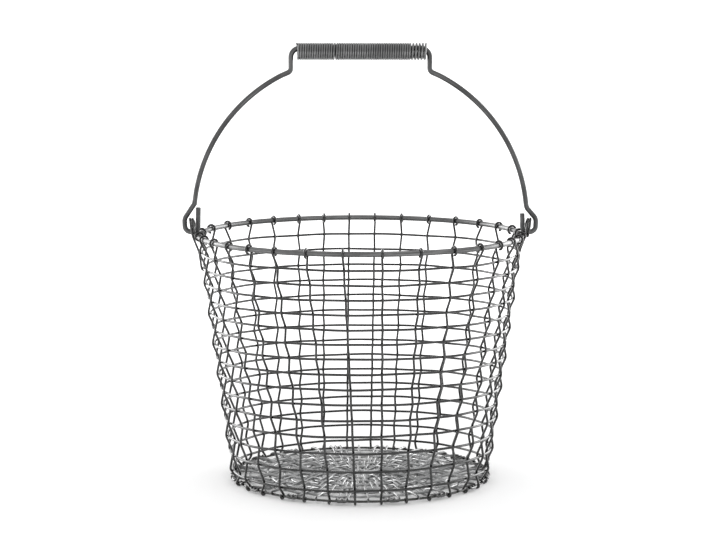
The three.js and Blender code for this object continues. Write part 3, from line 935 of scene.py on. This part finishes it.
def rim_steel(effects):
    """Stout drawn rod, a little rubbed, with faint lines along it."""
    finish, tree, shader, bump = new_finish("rim_steel", film=0.5)
    lines = place_group(tree, effects["lines"], (-1100, 300), Lines_Around=16.0, Lines_Along=30.0)
    tarnish = place_group(tree, effects["tarnish"], (-1100, 0), Patch_Scale=18.0, Speck_Scale=800.0)
    color = steel_color(tree, lines, tarnish, grey(RIM_BRIGHT), grey(RIM_DULL), tarnish_share=0.6)
    tree.links.new(color, shader.inputs["Base Color"])
    steel_surface(tree, shader, bump, lines, tarnish, smoothest=0.34, patch_roughness=0.12)
    return finish


def bail_steel(effects):
    """Stout rod, darker, dull in patches, and bright at the bottom of its eyes, where the ears hold it."""
    finish, tree, shader, bump = new_finish("bail_steel", film=0.2)
    lines = place_group(tree, effects["lines"], (-1100, 300), Lines_Around=16.0, Lines_Along=30.0)
    tarnish = place_group(tree, effects["tarnish"], (-1100, 0), Patch_Scale=30.0, Speck_Scale=700.0)
    eyes = place_group(
        tree,
        effects["height"],
        (-1100, -300),
        Low_Height=BAIL_RUBBED_BELOW,
        High_Height=BAIL_CLEAN_ABOVE,
        Unevenness=0.004,
    )
    bright = grey(BAIL_BRIGHT)
    color = steel_color(tree, lines, tarnish, bright, grey(BAIL_DULL), tarnish_share=0.8)
    rubbed = math_node(tree, (-800, -150), "MULTIPLY", eyes["Mask"], BAIL_RUBBED_SHARE)
    color = mix_colors(tree, (-400, 250), rubbed, color, bright)
    tree.links.new(color, shader.inputs["Base Color"])
    steel_surface(tree, shader, bump, lines, tarnish, smoothest=0.42, patch_roughness=0.14)
    return finish


def grip_steel(effects, axis_height):
    """Coiled wire, rubbed bright on the outside of its turns, and paler on its underside, painted light from
    below and wear where fingers close under it.
    """
    finish, tree, shader, bump = new_finish("grip_steel", film=0.6)
    lines = place_group(tree, effects["lines"], (-1100, 300), Lines_Around=7.0, Lines_Along=60.0)
    tarnish = place_group(tree, effects["tarnish"], (-1100, 0), Patch_Scale=40.0, Speck_Scale=1000.0)
    place = add_node(tree, "ShaderNodeTexCoord", (-1500, -300))
    parts = add_node(tree, "ShaderNodeSeparateXYZ", (-1300, -300))
    tree.links.new(place.outputs["Object"], parts.inputs["Vector"])
    over = math_node(tree, (-1100, -400), "SUBTRACT", parts.outputs["Z"], axis_height)
    across = math_node(tree, (-900, -300), "MULTIPLY", parts.outputs["Y"], parts.outputs["Y"])
    up = math_node(tree, (-900, -450), "MULTIPLY", over, over)
    distance = math_node(tree, (-700, -500), "SQRT", math_node(tree, (-800, -400), "ADD", across, up), 0)
    outside = map_range(tree, (-600, -500), distance, GRIP_RADIUS - GRIP_RUBBED_DEPTH, GRIP_RADIUS)
    # A paler underside: painted light from below, and wear where fingers close under it
    under = map_range(tree, (-600, -700), over, -GRIP_RADIUS, GRIP_UNDERLIGHT_AND_WEAR_TOP, 1.0, 0.0)
    color = steel_color(tree, lines, tarnish, grey(GRIP_BRIGHT), grey(GRIP_DULL), tarnish_share=0.6)
    underlight_and_wear = math_node(tree, (-500, -700), "MULTIPLY", under, GRIP_UNDERLIGHT_AND_WEAR_SHARE)
    color = mix_colors(tree, (-450, 250), underlight_and_wear, color, grey(GRIP_UNDERLIGHT_AND_WEAR))
    color = mix_colors(tree, (-300, 250), outside, grey(GRIP_INSIDE), color)
    tree.links.new(color, shader.inputs["Base Color"])
    steel_surface(tree, shader, bump, lines, tarnish, smoothest=0.24, patch_roughness=0.1)
    return finish


# Studio

def seen_directly(tree, place):
    """1 for the camera, a reflection or a view through glass, and 0 for light that falls on a surface."""
    x, y = place
    path = add_node(tree, "ShaderNodeLightPath", (x - 400, y)).outputs
    seen = math_node(tree, (x - 200, y), "MAXIMUM", path["Is Camera Ray"], path["Is Glossy Ray"])
    return math_node(tree, place, "MAXIMUM", seen, path["Is Transmission Ray"])


def make_floor():
    """A wide pale floor that the camera and reflections see as white, with the object's shadow on it."""
    mesh = bpy.data.meshes.new("floor")
    corners = [(x * FLOOR_REACH, y * FLOOR_REACH, 0) for x, y in ((-1, -1), (1, -1), (1, 1), (-1, 1))]
    mesh.from_pydata(corners, [], [(0, 1, 2, 3)])
    floor = bpy.data.objects.new("floor", mesh)
    bpy.context.scene.collection.objects.link(floor)
    finish = bpy.data.materials.new("floor_paper")
    finish.use_nodes = True
    tree = finish.node_tree
    shader = tree.nodes["Principled BSDF"]
    shader.inputs["Roughness"].default_value = FLOOR_ROUGHNESS
    place = add_node(tree, "ShaderNodeTexCoord", (-900, 0))
    tone = noise(tree, (-700, 0), place.outputs["Object"], scale=3.0)
    darkest = (FLOOR_DARKEST, FLOOR_DARKEST, FLOOR_DARKEST, 1)
    palest = (FLOOR_PALEST, FLOOR_PALEST, FLOOR_PALEST, 1)
    color = mix_colors(tree, (-400, 0), tone, darkest, palest)
    tree.links.new(color, shader.inputs["Base Color"])
    distance = add_node(tree, "ShaderNodeVectorMath", (-700, -200), operation="LENGTH")
    tree.links.new(place.outputs["Object"], distance.inputs[0])
    away = distance.outputs["Value"]
    level = map_range(tree, (-400, -200), away, GLOW_START, GLOW_END, NEAR_GLOW, FAR_GLOW)
    glow = math_node(tree, (-50, -400), "MULTIPLY", seen_directly(tree, (-250, -400)), level)
    shader.inputs["Emission Color"].default_value = (1, 1, 1, 1)
    tree.links.new(glow, shader.inputs["Emission Strength"])
    mesh.materials.append(finish)


def make_world():
    """White where it is seen or reflected, and a plain level of light on everything."""
    world = bpy.data.worlds.new("studio")
    bpy.context.scene.world = world
    world.use_nodes = True
    tree = world.node_tree
    backdrop = tree.nodes["Background"]
    strength = math_node(tree, (-200, 0), "MAXIMUM", seen_directly(tree, (-400, 0)), WORLD_LEVEL)
    backdrop.inputs["Color"].default_value = (1, 1, 1, 1)
    tree.links.new(strength, backdrop.inputs["Strength"])


def make_lamp(name, place, size, power):
    """One softbox, which faces the middle of the object."""
    lamp = bpy.data.lights.new(name, "AREA")
    lamp.shape = "RECTANGLE"
    lamp.size, lamp.size_y = size
    lamp.energy = power
    holder = bpy.data.objects.new(name, lamp)
    bpy.context.scene.collection.objects.link(holder)
    holder.location = place
    holder.rotation_euler = (Vector(LIGHT_AIM) - Vector(place)).to_track_quat("-Z", "Y").to_euler()


def make_lamps():
    """A softbox behind and one beside the object on each side, and a weak one above it."""
    for side, name in ((-1, "left"), (1, "right")):
        x, y, z = BACK_SOFTBOX_PLACE
        make_lamp(name + "_back_softbox", (side * x, y, z), BACK_SOFTBOX_SIZE, BACK_SOFTBOX_POWER)
        x, y, z = SIDE_SOFTBOX_PLACE
        make_lamp(name + "_softbox", (side * x, y, z), SIDE_SOFTBOX_SIZE, SIDE_SOFTBOX_POWER)
    make_lamp("top_softbox", TOP_SOFTBOX_PLACE, TOP_SOFTBOX_SIZE, TOP_SOFTBOX_POWER)


def make_camera():
    """The photograph's viewpoint, found from the rim, rows and base ring."""
    lens = bpy.data.cameras.new("camera")
    lens.sensor_width = SENSOR_WIDTH
    lens.lens = SENSOR_WIDTH * FOCAL_LENGTH_IN_PIXELS / IMAGE_WIDTH
    camera = bpy.data.objects.new("camera", lens)
    bpy.context.scene.collection.objects.link(camera)
    camera.location = CAMERA_PLACE
    camera.rotation_euler = (math.pi / 2 - CAMERA_TILT_DOWN, 0, 0)
    bpy.context.scene.camera = camera


make_camera()
effects = {
    "lines": drawing_lines_group(),
    "tarnish": tarnish_group(),
    "height": height_mask_group(),
}
make_basket(shaded_woven_steel(effects), lit_base_steel(effects), rim_steel(effects))
grip_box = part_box("grip")
grip_axis = (grip_box[0].z + grip_box[1].z) / 2
make_bail(bail_steel(effects), grip_steel(effects, grip_axis))
make_floor()
make_world()
make_lamps()

bpy.context.scene.view_settings.view_transform = "Standard"
